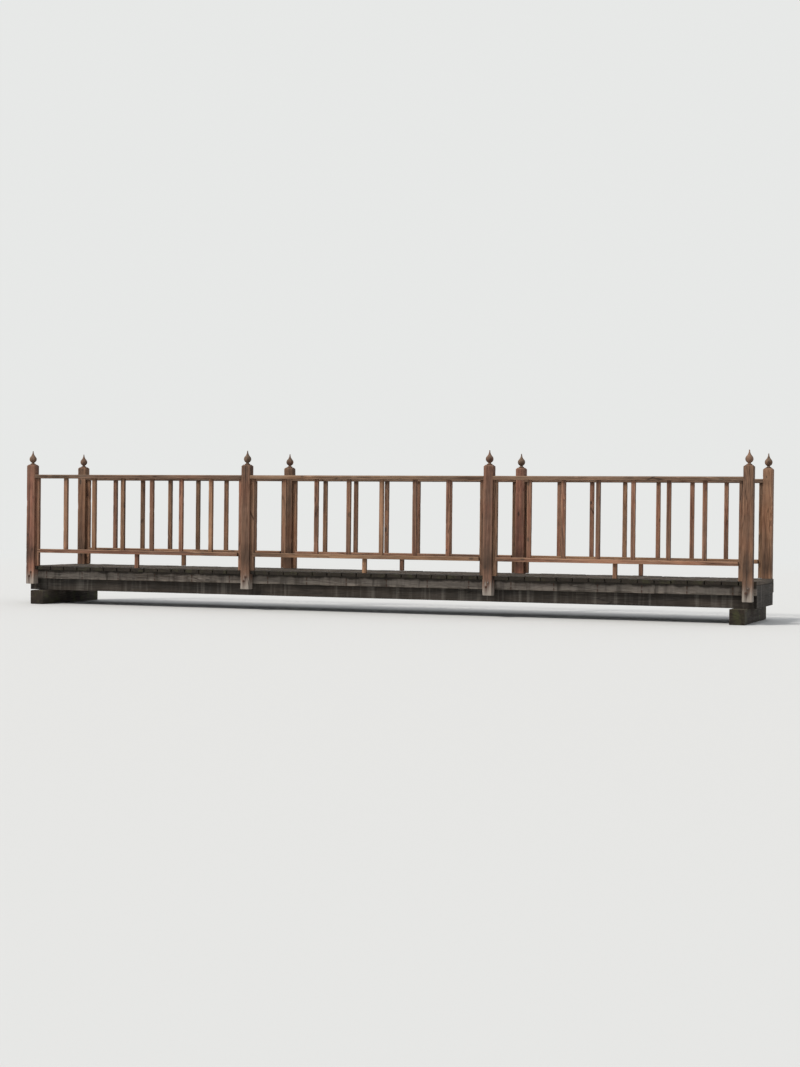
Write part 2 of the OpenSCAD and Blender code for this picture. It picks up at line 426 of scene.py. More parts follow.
# How an end's own edge is worn, how strongly its nearness shows, and over what distance that fades.
end_edge_wear = 0.8
near_end, end_fade = 0.6, 0.05


def board_attributes(draw, along, length, inset, shrink, flat, check_open):
    """What a board's material reads. grain is the place in the grain: along the board, then across it from a
    heart that lies beside the board's middle and drifts as the tree tapered. place is the same from the
    board's own end and middle. end is 1 on the sawn ends, and fades along the faces near them. edge is 1 on
    worn edges, check is 1 in the bottom of a check, and tone is the board's own."""
    boards = len(along)
    heart = draw.uniform(*heart_aside, (boards, 1, 1, 2)) * draw.choice([-1, 1], (boards, 1, 1, 2))
    heart = heart + draw.uniform(-heart_drift, heart_drift, (boards, 1, 1, 2)) * along[:, :, None, None]
    length_at = np.broadcast_to(along[:, :, None, None], flat.shape[:3] + (1,))
    from_end = np.minimum(along, length[:, None] - along)
    sawn = np.r_[np.ones(3), np.zeros(len(shrink) - 6), np.ones(3)]
    end_edge = np.where((inset > 0) & (shrink == 1.0), end_edge_wear, 0.0)[None, :, None]
    in_grain = length_at + draw.uniform(0, grain_shift, (boards, 1, 1, 1))
    return {
        "grain": np.concatenate([in_grain, flat + heart], -1),
        "place": np.concatenate([length_at, flat], -1),
        "tone": draw.random((boards, 1, 1)),
        "edge": np.maximum(on_corner, end_edge) + 0 * along[..., None],
        "check": check_bottom * (check_open > 0) * np.minimum(1, 3 * check_open),
        "end": np.maximum(near_end * np.exp(-from_end / end_fade), sawn)[..., None],
    }


# How far a sawn end is hollowed, and how far apart a check's lips stay where it is closed, as a share of its
# width.
end_hollow = 0.0015
closed_lips = 0.2


def worn_boards(name, low, high, axis, seed, edge, step, relief=0.0006, ends=(0.002, 0.002), end_round=0.29,
                check_depth=0.006, check_width=0.0011, checked=0.5, cup=0.0, twist=0.0, shape=None):
    """Object of weathered boards inside the boxes low to high, which run along one axis. Each section is a core
    rectangle grown by the worn edge's radius, so that a point is its place on the core plus the radius along
    its normal. The section turns evenly by the board's own share of the twist. step is about the gap between
    rings, ends are how far the edges of the two ends are cut back, checked is the share of faces with a
    check, and shape changes the section's limits along the board."""
    draw = np.random.default_rng(seed)
    boards = len(low)
    number = np.arange(boards)[:, None, None]
    across = [(axis + 1) % 3, (axis + 2) % 3]
    length = (high - low)[:, axis]
    along, inset, shrink = ring_places(length, ends, end_round, step)
    side_low = np.repeat(low[:, None, across], len(shrink), 1)
    side_high = np.repeat(high[:, None, across], len(shrink), 1)
    if shape is not None:
        along, side_low, side_high = shape(along, side_low, side_high)
    centre = (side_low + side_high) / 2
    half = (side_high - side_low) / 2 - inset[None, :, None]
    share = along / length[:, None]

    check_place, check_open = open_checks(draw, boards, share, checked)
    radius = corner_radii(draw, seed, edge, along, half, number)
    face_half = np.abs(half @ face_run.T)
    lips_apart = check_width * (closed_lips + (check_open > 0) * check_open ** 0.5)
    lip = check_lip * lips_apart / np.maximum(face_half, 1e-4)
    on_face = place_on_face + moves_with_check * check_place + lip
    core = on_face[..., None] * face_run + face_normal
    flat = core * (half[:, :, None, :] - radius[..., None]) + radius[..., None] * outline_normal

    spot = np.concatenate([flat, along[:, :, None, None] + 0 * flat[..., :1]], -1)
    rough = ripple(spot + number[..., None] * relief_shift, relief_wavelength, seed + 2)
    bend = draw.uniform(-1, 1, (boards, 1, 1)) * cup
    cupped = np.where(bend > 0, bend * (1 - on_face ** 2), -bend * on_face ** 2) * (1 - on_corner) ** 2
    inward = relief * (0.5 + 0.5 * rough) + cupped + check_bottom * check_depth * check_open
    flat = (flat - inward[..., None] * outline_normal) * shrink[None, :, None, None]
    turn = twist * draw.uniform(-1, 1, (boards, 1, 1)) * (2 * share[..., None] - 1)

    grids = np.empty(flat.shape[:3] + (3,))
    grids[..., across[0]] = centre[:, :, None, 0] + flat[..., 0] * np.cos(turn) - flat[..., 1] * np.sin(turn)
    grids[..., across[1]] = centre[:, :, None, 1] + flat[..., 0] * np.sin(turn) + flat[..., 1] * np.cos(turn)
    hollow = end_hollow * (1 - shrink) * np.where(share < 0.5, 1, -1)
    grids[..., axis] = (low[:, axis][:, None] + along + hollow)[..., None]
    return closed_tubes(name, grids, board_attributes(draw, along, length, inset, shrink, flat, check_open))


def srgb(red, green, blue):
    """A colour as the screen shows it, from 0 to 255, as the linear values that a shader takes."""
    shares = np.array([red, green, blue]) / 255.0
    linear = np.where(shares <= 0.04045, shares / 12.92, ((shares + 0.055) / 1.055) ** 2.4)
    return (*linear.tolist(), 1.0)


def dimmed(colour, share):
    """A colour with its light cut to a share."""
    return (*(share * v for v in colour[:3]), 1.0)


old_silver = srgb(158, 151, 142)
# A dirt colour, which, dimmed, is also the painted shade along the rim boards' top.
dirt_and_painted_shade = srgb(40, 34, 27)
algae = srgb(74, 76, 46)
soil_shade = (0.30, 0.28, 0.25, 1.0)
split_shade = (0.12, 0.09, 0.07, 1.0)
check_dark = (0.05, 0.035, 0.025, 1.0)

# The wood's patterns, in repeats to a metre: along the board, and twice across it. Patches and blotches of
# weather pass from board to board, along the bridge's own axes.
knot_scales = (5.5, 11.0, 11.0)
swirl_scales = (0.9, 7.0, 7.0)
fibre_scales = (7.0, 330.0, 330.0)
streak_scales = (1.3, 34.0, 34.0)
broad_scales = (0.8, 11.0, 11.0)
split_scales = (1.3, 30.0, 30.0)
split_patch_scales = (1.6, 10.0, 10.0)
patch_scales = (1.4, 2.6, 2.6)
blotch_scales = (5.0, 9.0, 9.0)
# How far the swirl pushes the grain aside, in metres.
swirl_reach = (0.0, 0.035, 0.035)
# A wave texture's rings lie this far apart at scale 1.
wave_gap = 0.314
# The largest knot and how far round one the rings bulge, in cells of the knots' pattern, and by how much.
knot_most = 0.09
bulge_reach, bulge_phase = 0.42, 7.0
# An end's splits: how close together they lie round the heart, and how they change with the distance from it.
spokes, spoke_change = 9.0, 3.0
# Edges over which a knot, a face's splits and their patches, an end's splits and the sawn end fade.
knot_edge = 0.02, 0.10
split_edge = 0.004, 0.035
split_patch_edge = 0.48, 0.62
end_split_edge = 0.004, 0.022
sawn_edge = 0.9, 0.98
# Where the figure is dark, middling and pale, how far each board's own light and hue go, and how often the
# hue comes round while the light goes from least to most.
dark_at, mid_at, pale_at = 0.36, 0.54, 0.74
own_light = 0.72, 1.22
own_hue = 0.491, 0.507
hue_rounds = 7.3


def wood_figure(wood, grain, ring_gap):
    """The wood's coordinates, pushed aside by a slow swirl, and its knots, rings, fibres and streaks in them,
    from 0 to 1. Knots are the points of a cell pattern, each with its own size. Growth rings lie round the
    heart and bulge round the knots. Fibres and streaks are noise stretched along the board."""
    cell = wood.node("ShaderNodeTexVoronoi", {"Vector": wood.stretched(grain, knot_scales), "Scale": 1.0})
    knot_size = wood.node("ShaderNodeSeparateColor", {0: cell.outputs["Color"]}).outputs[0]
    from_knot = wood.math("SUBTRACT", cell.outputs["Distance"], wood.times(knot_size, knot_most))
    knot = wood.fade(from_knot, *knot_edge)
    bulge = wood.step(from_knot, 0.0, bulge_reach, bulge_phase, 0.0)
    swirl_inputs = {"Vector": wood.stretched(grain, swirl_scales), "Scale": 1.0, "Detail": 2.0}
    swirl = wood.node("ShaderNodeTexNoise", swirl_inputs).outputs["Color"]
    pushed = wood.node("ShaderNodeVectorMath", {0: swirl, 1: swirl_reach, 2: grain},
                       operation="MULTIPLY_ADD").outputs[0]
    ring_inputs = {"Vector": pushed, "Scale": wave_gap / ring_gap, "Distortion": 0.0, "Phase Offset": bulge}
    rings = wood.node("ShaderNodeTexWave", ring_inputs, wave_type="RINGS", rings_direction="X",
                      wave_profile="SAW").outputs["Fac"]
    fibres = wood.noise(pushed, fibre_scales, detail=4.0)
    streaks = wood.noise(pushed, streak_scales, detail=4.0)
    return pushed, knot, rings, fibres, streaks


def wood_splits(wood, grain, pushed, end):
    """Fine splits, from 0 to 1. On the faces they are the edges of long cells, in patches, and on the sawn
    ends they are thin lines of a noise that depends mostly on the angle round the heart."""
    cells = wood.node("ShaderNodeTexVoronoi", {"Vector": wood.stretched(pushed, split_scales), "Scale": 1.0},
                      feature="DISTANCE_TO_EDGE").outputs["Distance"]
    on_face = wood.times(wood.fade(cells, *split_edge),
                         wood.step(wood.noise(grain, split_patch_scales), *split_patch_edge))
    across = wood.node("ShaderNodeSeparateXYZ", {0: pushed}).outputs
    angle = wood.math("ARCTAN2", across["Z"], across["Y"])
    spoke = wood.joined(wood.times(angle, spokes), wood.times(across["X"], spoke_change))
    star = wood.apart(wood.noise(spoke, (1.0, 1.0, 1.0), detail=2.0), noise_middle)
    on_end = wood.times(wood.fade(star, *end_split_edge), wood.step(end, *sawn_edge))
    return wood.math("MAXIMUM", on_end, wood.times(on_face, wood.fade(end, *sawn_edge)))


# How strongly a knot shows, and its light, as a share of the dark wood's.
knot_share, knot_light = 0.85, 0.4


def wood_colour(wood, figure, knot, dark, mid, pale):
    """The wood's own colour: the figure from dark to pale, in the board's own tone, with dark knots."""
    tone = wood.attribute("tone")
    ramp = wood.node("ShaderNodeValToRGB", {"Fac": figure})
    ramp.color_ramp.elements[0].position = dark_at
    ramp.color_ramp.elements[0].color = dark
    ramp.color_ramp.elements[1].position = pale_at
    ramp.color_ramp.elements[1].color = pale
    ramp.color_ramp.elements.new(mid_at).color = mid
    other_tone = wood.math("FRACT", wood.times(tone, hue_rounds))
    shade = {"Color": ramp.outputs["Color"], "Value": wood.step(tone, 0.0, 1.0, *own_light),
             "Hue": wood.step(other_tone, 0.0, 1.0, *own_hue)}
    colour = wood.node("ShaderNodeHueSaturation", shade).outputs["Color"]
    return wood.mix(wood.times(knot, knot_share), colour, dimmed(dark, knot_light))


# What part streaks, rings, fibres and broad tones have in the figure, and the first three and splits in the
# relief.
streak_part, ring_part, fibre_part, broad_part = 0.55, 0.22, 0.3, 0.09
streak_relief, ring_relief, fibre_relief, split_relief = 0.5, 0.28, 0.5, 1.6
grain_bump, grain_depth = 0.7, 0.0016
# Silvering: what fibres and a face that looks up add to its patches, between which slopes, where it begins
# and is full, and its light between the fibres.
fibre_silver, upward_silver = 0.35, 0.35
upward_edge = -0.4, 0.9
silver_edge = 0.5, 0.95
shaded_silver = 0.6
# Edges over which wear, an end's rings and grime come in, and what the nearness of an end adds to the grime.
wear_edge = 0.32, 0.6
end_ring_edge = 0.35, 0.95
grime_edge = 0.84, 1.28
end_grime = 0.2
# How strongly end grain, splits and checks show.
end_grain_share, split_share, check_share = 0.9, 0.78, 0.9
# Roughness between the fibres and on them, and how much light the wood throws back.
dull_to_smooth = 0.93, 0.74
wood_specular = 0.28


def wood_finish(name, dark, mid, pale, silvering, grime, edge_colour, edge_wear, faded=old_silver,
                ring_gap=0.006, end_light=0.7, weather=None):
    """Material of weathered wood. Over the wood's own colour lie silvering, most where a face looks up, worn
    edges, the end grain of sawn ends, grime in blotches and at the ends, then what weather adds for that
    piece alone, and last the splits and the dark bottoms of the checks. The figure and the splits give the
    bump."""
    wood = Finish(bpy.data.materials.new(name))
    shader = wood.tree.nodes["Principled BSDF"]
    grain = wood.attribute("grain", "Vector")
    end = wood.attribute("end")
    space = wood.space()
    upward = wood.part(wood.node("ShaderNodeNewGeometry", {}).outputs["Normal"], "Z")
    pushed, knot, rings, fibres, streaks = wood_figure(wood, grain, ring_gap)
    splits = wood_splits(wood, grain, pushed, end)
    patches = wood.noise(space, patch_scales, detail=5.0)
    blotches = wood.noise(space, blotch_scales, detail=4.0)

    broad = wood.offset(wood.noise(grain, broad_scales, detail=2.0), broad_part)
    figure = wood.plus(wood.times(streaks, streak_part), wood.times(rings, ring_part),
                       wood.times(fibres, fibre_part), broad)
    colour = wood_colour(wood, figure, knot, dark, mid, pale)
    weathered = wood.plus(patches, wood.times(fibres, fibre_silver),
                          wood.step(upward, *upward_edge, 0.0, upward_silver))
    silvered = wood.mix(wood.step(fibres, *noise_spread), dimmed(faded, shaded_silver), faded)
    colour = wood.mix(wood.times(wood.step(weathered, *silver_edge), silvering), colour, silvered)
    worn = wood.times(wood.attribute("edge"), wood.step(blotches, *wear_edge))
    colour = wood.mix(wood.times(worn, edge_wear), colour, edge_colour)
    end_grain = wood.mix(wood.step(rings, *end_ring_edge), dimmed(pale, end_light), dimmed(dark, end_light))
    colour = wood.mix(wood.times(wood.step(end, *sawn_edge), end_grain_share), colour, end_grain)
    soiled = wood.step(wood.plus(blotches, patches, wood.times(end, end_grime)), *grime_edge)
    colour = wood.mix(wood.times(soiled, grime), colour, soil_shade, "MULTIPLY")
    if weather is not None:
        colour = weather(wood, colour, space, fibres)
    colour = wood.mix(wood.times(splits, split_share), colour, split_shade, "MULTIPLY")
    colour = wood.mix(wood.times(wood.attribute("check"), check_share), colour, check_dark)
    wood.feed(shader.inputs["Base Color"], colour)

    wood.feed(shader.inputs["Roughness"], wood.step(fibres, *noise_spread, *dull_to_smooth))
    shader.inputs["Specular IOR Level"].default_value = wood_specular
    height = wood.plus(wood.times(fibres, fibre_relief), wood.times(rings, ring_relief),
                       wood.times(streaks, streak_relief))
    height = wood.math("SUBTRACT", height, wood.times(splits, split_relief))
    wood.feed(shader.inputs["Normal"], wood.bump(height, grain_bump, grain_depth))
    return wood.owner


def finish_piece(piece, material, slot=None, *nodes):
    """Gives a piece its material and evens its shading by face area. It rides on the one body, and stands
    for the CAD nodes named. The slot is not used."""
    piece.data.materials.append(material)
    piece.modifiers.new("even_shading", "WEIGHTED_NORMAL").weight = 80
    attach(piece, "root")
    if nodes:
        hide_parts(*nodes)


def weathered_piece(node, order, run, seed, material, slot, **wear):
    """Finished piece in place of a CAD node. Its boards are numbered along the axis order, and run along the
    axis run."""
    low, high = solids_along(node, order)
    piece = worn_boards("worn_" + node, low, high, run, seed, **wear)
    finish_piece(piece, material, slot, node)
    return piece


# Heights at which the damp thins and is gone, how they wander, and the patches of growth.
damp_from, damp_gone, damp_wander = 0.08, 0.20, 0.16
damp_scales = (6.0, 6.0, 3.0)
damp_share = 0.75
growth_scales = (9.0, 9.0, 9.0)
growth_edge = 0.5, 0.68
growth_share = 0.55


def damp_foot(wood, colour, space, fibres):
    """Damp that rises from the foot, with a thin green growth over it in patches."""
    wavy = wood.plus(wood.part(space, "Z"), wood.times(wood.noise(space, damp_scales), damp_wander))
    colour = wood.mix(wood.step(wavy, damp_from, damp_gone, damp_share, 0.0), colour, dirt_and_painted_shade)
    green = wood.step(wood.noise(space, growth_scales, detail=5.0), *growth_edge)
    return wood.mix(wood.times(green, growth_share), colour, algae)


sill_wood = wood_finish("damp_sill_wood", srgb(38, 31, 25), srgb(66, 55, 44), srgb(96, 82, 67),
                        silvering=0.3, grime=0.7, edge_colour=srgb(112, 98, 82), edge_wear=0.35,
                        weather=damp_foot)
for number, node in enumerate(("left_sill", "right_sill")):
    weathered_piece(node, X, Y, 40 + number, sill_wood, "sills", edge=0.007, step=0.03, relief=0.0018,
                    ends=(0.004, 0.004), check_depth=0.02, check_width=0.002, checked=0.9)

# The frame: three deep stringers on edge, headers across their ends, and pairs of blocks between them. It is
# the same softwood, darkened all over with painted shade from the deck above it, with stains where water runs
# down from the planks' gaps.
plank_starts = solids_along("middle_deck_planks", X)[0][:, X]
plank_pitch = float(np.diff(plank_starts).mean())
# The stains below the gaps: their half width, how it wanders, and how strong they are from place to place.
gap_stain, gap_wander = 0.016, 0.012
gap_wander_scales = (60.0, 60.0, 9.0)
gap_strength_scales = (5.0, 5.0, 2.4)
gap_strength_edge = 0.42, 0.62
gap_share = 0.62
# The broad runs between them, dark and pale.
dark_run_scales = (12.0, 12.0, 1.3)
dark_run_edge = 0.58, 0.76
dark_run_fibres = 0.2
dark_run_share = 0.5
broad_pale_scales, fine_pale_scales = (9.0, 9.0, 0.9), (36.0, 36.0, 1.8)
pale_run_edge = 1.12, 1.50
pale_run_fibres = 0.3
pale_run_share = 0.15


def dripped(wood, colour, space, fibres):
    """Runs of water down the upright faces: dark stains below the gaps between planks, some strong and some
    faint, and broad pale and dark runs between them, from noise stretched along Z."""
    below_plank = wood.math("PINGPONG", wood.part(space, "X"), plank_pitch / 2)
    wavy = wood.plus(below_plank, wood.offset(wood.noise(space, gap_wander_scales), gap_wander))
    near_gap = wood.step(wavy, plank_pitch / 2 - gap_stain, plank_pitch / 2)
    strength = wood.step(wood.noise(space, gap_strength_scales), *gap_strength_edge, 0.0, gap_share)
    colour = wood.mix(wood.times(near_gap, strength), colour, dirt_and_painted_shade)
    dark_runs = wood.plus(wood.noise(space, dark_run_scales, detail=4.0), wood.times(fibres, dark_run_fibres))
    colour = wood.mix(wood.step(dark_runs, *dark_run_edge, 0.0, dark_run_share), colour, dirt_and_painted_shade)
    broad_pale = wood.noise(space, broad_pale_scales, detail=2.0)
    fine_pale = wood.noise(space, fine_pale_scales, detail=2.0)
    pale_runs = wood.plus(broad_pale, fine_pale, wood.times(fibres, pale_run_fibres))
    return wood.mix(wood.step(pale_runs, *pale_run_edge, 0.0, pale_run_share), colour, old_silver)


# Painted shade: these colours are far darker than the sills' same softwood, and stand in for the shade under
# the deck.
frame_wood = wood_finish("painted_shade_frame_wood", srgb(18, 15, 12), srgb(34, 28, 23), srgb(53, 44, 36),
                         silvering=0.1, grime=0.6, edge_colour=srgb(84, 71, 60), edge_wear=0.25,
                         weather=dripped)
for number, node in enumerate(("front_stringer", "middle_stringer", "back_stringer")):
    weathered_piece(node, X, X, 50 + number, frame_wood, "frame_timber", edge=0.004, step=0.05, relief=0.001,
                    check_depth=0.007, checked=0.7)
header_pieces = [
    weathered_piece(node, X, Y, 55 + number, frame_wood, "frame_timber", edge=0.004, step=0.03, relief=0.001,
                    checked=0.7)
    for number, node in enumerate(("left_header", "right_header"))
]
for number, node in enumerate(("left_blocking", "middle_blocking", "right_blocking")):
    weathered_piece(node, Y, Y, 60 + number, frame_wood, "frame_timber", edge=0.003, step=0.04)

# The rim boards: one long board on the outer face of each side stringer, which the posts are bolted to. It
# gets more light than the frame, and has weathered to a grey brown under dark runs of water.
rim_nails, rim_nail_gap = 18, 0.406
rim_nail_height = 0.022, 0.067
rim_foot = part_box("front_rim_board")[0].z
rim_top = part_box("front_rim_board")[1].z
# The painted shade along the top, under the planks' overhanging ends, and the damp at the foot.
shade_from, shade_full, shade_wander = rim_top - 0.034, rim_top - 0.010, 0.010
shade_wander_scales = (10.0, 10.0, 10.0)
shade_share, shade_light = 0.85, 0.6
rim_damp_gone = rim_foot + 0.014
rim_damp_share = 0.5
# A nail's rust: how far it starts over the nail, how wide and how long it has run, and how strong it is.
nail_rust = srgb(66, 42, 30)
nail_rust_reach = 0.006
nail_rust_side = 0.003, 0.010
nail_rust_run = 0.004, 0.05
nail_rust_share = 0.7


def rim_weather(wood, colour, space, fibres):
    """The frame's runs of water, with painted shade along the top under the planks' overhanging ends, damp
    along the foot, and rust bled down from each nail."""
    colour = dripped(wood, colour, space, fibres)
    height = wood.part(space, "Z")
    wavy = wood.plus(height, wood.offset(wood.noise(space, shade_wander_scales, detail=4.0), shade_wander))
    shaded = wood.step(wavy, shade_from, shade_full, 0.0, shade_share)
    # Painted shade: a dimmed dirt colour darkens a band along the top, where the planks' ends overhang it.
    colour = wood.mix(shaded, colour, dimmed(dirt_and_painted_shade, shade_light))
    colour = wood.mix(wood.step(wavy, rim_foot, rim_damp_gone, rim_damp_share, 0.0), colour, dirt_and_painted_shade)
    from_nail = wood.math("PINGPONG", wood.plus(wood.part(space, "X"), rim_nail_gap / 2), rim_nail_gap / 2)
    narrow = wood.fade(from_nail, *nail_rust_side)
    for nail in rim_nail_height:
        below = wood.math("SUBTRACT", rim_foot + nail, height)
        run = wood.times(wood.step(below, -nail_rust_reach, 0.0), wood.fade(below, *nail_rust_run))
        colour = wood.mix(wood.times(run, narrow, nail_rust_share), colour, nail_rust)
    return colour


rim_wood = wood_finish("grey_rim_wood", srgb(80, 71, 63), srgb(124, 113, 102), srgb(162, 151, 139),
                       silvering=0.5, grime=0.4, edge_colour=srgb(162, 151, 139), edge_wear=0.45,
                       weather=rim_weather)
rim_pieces = [
    weathered_piece(node, X, X, 65 + number, rim_wood, "rim_boards", edge=0.004, step=0.04, relief=0.0012,
                    check_depth=0.007, checked=0.9)
    for number, node in enumerate(("front_rim_board", "back_rim_board"))
]

# The deck: planks across the stringers with narrow gaps, notched round the posts. Feet and weather have
# cupped and rounded them, and no two lie quite level or end quite in line. The way along the middle is
# trodden pale, and the ends keep the dirt.
notch_clear = 0.003
shoulder_rings = 0.0003
plank_sag = 0.0022
plank_short = 0.005
nail_from_middle = 0.045
stringer_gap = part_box("back_stringer")[1].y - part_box("middle_stringer")[1].y
posts = sorted(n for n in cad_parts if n.endswith("_post"))
post_low = np.array([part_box(n)[0] for n in posts])
post_high = np.array([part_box(n)[1] for n in posts])
# How far from the deck's middle the trodden way ends, and dirt and growth begin, how these edges wander, and
# how strong each is.
way_edge = 0.14, 0.34
dirt_edge = 0.34, 0.52
green_edge = 0.36, 0.5
way_wander = 0.12
way_wander_scales = (2.4, 4.0, 4.0)
way_share, dirt_share, green_share = 0.35, 0.6, 0.25
way_colour = srgb(102, 89, 76)
moss_scales = (14.0, 14.0, 14.0)
moss_edge = 0.5, 0.7
# The rust round a nail: its edge, how it is drawn out along the grain, and how strong it is.
deck_rust = srgb(38, 25, 18)
deck_rust_edge = 0.004, 0.015
deck_rust_along = 0.45
deck_rust_share = 0.75


def notched(along, side_low, side_high):
    """Narrows a plank beside each post that it meets. Beyond the notch's shoulder, the plank's edge next to
    the post moves back to the notch's side. The two rings nearest the shoulder move to either side of it, so
    that it stays square. An end post's notch is open to the deck's end."""
    shoulder = post_high[:, Y].max() - (post_high - post_low)[0, Y] - notch_clear
    middle = along[:, -1:] / 2
    for end in (-1, 1):
        inner = np.argmin(np.abs((along - middle)[0] * end - shoulder))
        along[:, inner] = middle[:, 0] + end * (shoulder - shoulder_rings)
        along[:, inner + end] = middle[:, 0] + end * (shoulder + shoulder_rings)
    beyond = np.abs(along - middle) > shoulder
    at_left_end = post_low[:, X] < post_low[:, X].min() + notch_clear
    notch_start = np.where(at_left_end, -np.inf, post_low[:, X] - notch_clear)
    # Across a plank that runs along Y, the section's second side is X.
    for near, far in zip(notch_start, post_high[:, X] + notch_clear):
        low_x, high_x = side_low[..., 1], side_high[..., 1]
        from_left = beyond & (low_x < near) & (high_x > near)
        from_right = beyond & (low_x < far) & (high_x > far) & ~from_left
        side_high[..., 1] = np.where(from_left, near, high_x)
        side_low[..., 1] = np.where(from_right, far, low_x)
    return along, side_low, side_high


def trodden(wood, colour, space, fibres):
    """A pale way along the middle, dirt and thin green growth towards the sides, and rust bled along the
    grain from two nails over each stringer."""
    side = wood.math("ABSOLUTE", wood.part(space, "Y"))
    wavy = wood.plus(side, wood.offset(wood.noise(space, way_wander_scales, detail=4.0), way_wander))
    colour = wood.mix(wood.step(wavy, *way_edge, way_share, 0.0), colour, way_colour)
    colour = wood.mix(wood.step(wavy, *dirt_edge, 0.0, dirt_share), colour, dirt_and_painted_shade)
    mossy = wood.step(wood.noise(space, moss_scales), *moss_edge)
    colour = wood.mix(wood.times(wood.step(wavy, *green_edge), mossy, green_share), colour, algae)
    from_stringer = wood.math("PINGPONG", side, stringer_gap / 2)
    from_middle = wood.math("ABSOLUTE", wood.part(wood.attribute("place", "Vector"), "Z"))
    from_nail = wood.math("SUBTRACT", from_middle, nail_from_middle)
    away = wood.length(wood.joined(wood.times(from_stringer, deck_rust_along), from_nail))
    return wood.mix(wood.step(away, *deck_rust_edge, deck_rust_share, 0.0), colour, deck_rust)


deck_wood = wood_finish("trodden_deck_wood", srgb(30, 25, 20), srgb(55, 46, 38), srgb(88, 76, 63),
                        silvering=0.3, grime=0.6, edge_colour=srgb(42, 36, 30), edge_wear=0.5,
                        faded=srgb(108, 98, 87), end_light=0.5, weather=trodden)
deck_pieces = []
for number, node in enumerate(("left_deck_planks", "middle_deck_planks", "right_deck_planks")):
    draw = np.random.default_rng(70 + number)
    low, high = solids_along(node, X)
    plank_x = (low[:, X] + high[:, X]) / 2
    high[:, Z] -= draw.uniform(0, plank_sag, len(low))
    low[:, Y] += draw.uniform(0, plank_short, len(low))
    high[:, Y] -= draw.uniform(0, plank_short, len(low))
    planks = worn_boards("worn_" + node, low, high, Y, 73 + number, edge=0.005, step=0.02, relief=0.0012,
                         ends=(0.003, 0.003), check_depth=0.006, checked=0.8, cup=0.0018, shape=notched)
    finish_piece(planks, deck_wood, "deck_planks", node)
    deck_pieces.append((planks, plank_x))

# The nails in the deck: two through each plank into each stringer. They are plain steel, rusted, with flat
# heads beaten down level with the wood.
nail_profile = [(0.0042, -0.004), (0.0046, -0.0006), (0.0046, -0.0001), (0.0030, 0.0002)]
nail_sides = 8


def turned(profile, places, ways, around, first_turn=0.0):
    """Points of round studs, by stud, ring and step. Each ring of the profile is a circle of its radius, at
    its height along the stud's way from its place."""
    helper = np.where(np.abs(ways[:, 2:]) < 0.9, [[0.0, 0.0, 1.0]], [[1.0, 0.0, 0.0]])
    side = np.cross(helper, ways)
    side /= np.linalg.norm(side, axis=1, keepdims=True)
    up = np.cross(ways, side)
    turn = np.linspace(0, 2 * np.pi, around, endpoint=False) + first_turn
    circle = np.cos(turn)[:, None] * side[:, None] + np.sin(turn)[:, None] * up[:, None]
    radius, height = np.array(profile).T
    return (places[:, None, None] + radius[:, None, None] * circle[:, None]
            + height[:, None, None] * ways[:, None, None])


def seated(piece, spots, way):
    """Where rays from the spots first meet a piece, going one way, and how its surface faces there."""
    hits = [piece.ray_cast(Vector(spot), Vector(way)) for spot in spots]
    places = np.array([hit[1] for hit in hits if hit[0]])
    facing = np.array([hit[2] for hit in hits if hit[0]])
    return places, facing


def studs(name, profile, places, ways, around, seed, first_turn=0.0):
    """Object of many like studs, each with a tone of its own, kept inside the bridge's box."""
    points = turned(profile, places, ways, around, first_turn)
    points = np.clip(points, cad_low, cad_high)
    tone = np.random.default_rng(seed).random((len(places), 1, 1))
    return closed_tubes(name, points, {"tone": tone})


# Steel: its blotches and the specks in them, the share of noise that rust covers, how a piece's own share
# differs, and the finish of bare and of rusted metal.
rust_scales = (160.0, 160.0, 160.0)
speck_scales = (420.0, 420.0, 420.0)
speck_light = 0.45
rust_edge = 0.36, 0.62
least_rust, most_rust = -0.6, -0.3
rust_depth, rust_bump = 0.0006, 0.5
bare_roughness, rust_roughness = 0.45, 0.85
bare_metallic, rust_metallic = 0.75, 0.0


def steel_finish(name, metal, rust, rusted):
    """Material of old steel: each piece of hardware has its own share of rust, in blotches of noise."""
    steel = Finish(bpy.data.materials.new(name))
    shader = steel.tree.nodes["Principled BSDF"]
    space = steel.space()
    blotches = steel.noise(space, rust_scales, detail=4.0)
    own_rust = steel.step(steel.attribute("tone"), 0.0, 1.0, rusted + least_rust, rusted + most_rust)
    cover = steel.step(steel.plus(blotches, own_rust), *rust_edge)
    speckled = steel.mix(steel.noise(space, speck_scales), rust, dimmed(rust, speck_light))
    steel.feed(shader.inputs["Base Color"], steel.mix(cover, metal, speckled))
    steel.feed(shader.inputs["Roughness"], steel.step(cover, 0.0, 1.0, bare_roughness, rust_roughness))
    steel.feed(shader.inputs["Metallic"], steel.step(cover, 0.0, 1.0, bare_metallic, rust_metallic))
    steel.feed(shader.inputs["Normal"], steel.bump(blotches, rust_bump, rust_depth))
    return steel.owner


nail_steel = steel_finish("rusted_nail_steel", srgb(96, 88, 80), srgb(80, 50, 34), rusted=0.8)


def drive_nails(name, seats, seed):
    """Nails as one piece, at all the seats, which are pairs of places and ways."""
    places, ways = (np.concatenate(part) for part in zip(*seats))
    finish_piece(studs(name, nail_profile, places, ways, nail_sides, seed), nail_steel)


bpy.context.view_layer.update()
nails = []
for planks, plank_x in deck_pieces:
    spots = [(x + side * nail_from_middle, y, cad_high.z)
             for x in plank_x for side in (-1, 1) for y in (-stringer_gap, 0.0, stringer_gap)]
    nails.append(seated(planks, spots, (0, 0, -1)))
drive_nails("deck_nails", nails, 130)

# The nails in the frame: pairs through the rim boards into the stringers between the posts, and three through
# each header into the end of each stringer.
header_nail_rise = 0.035, 0.100, 0.165
header_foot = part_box("left_header")[0].z
nail_from_post = 0.01
post_x = (post_low[:, X] + post_high[:, X]) / 2
post_reach = (post_high - post_low)[0, X] / 2
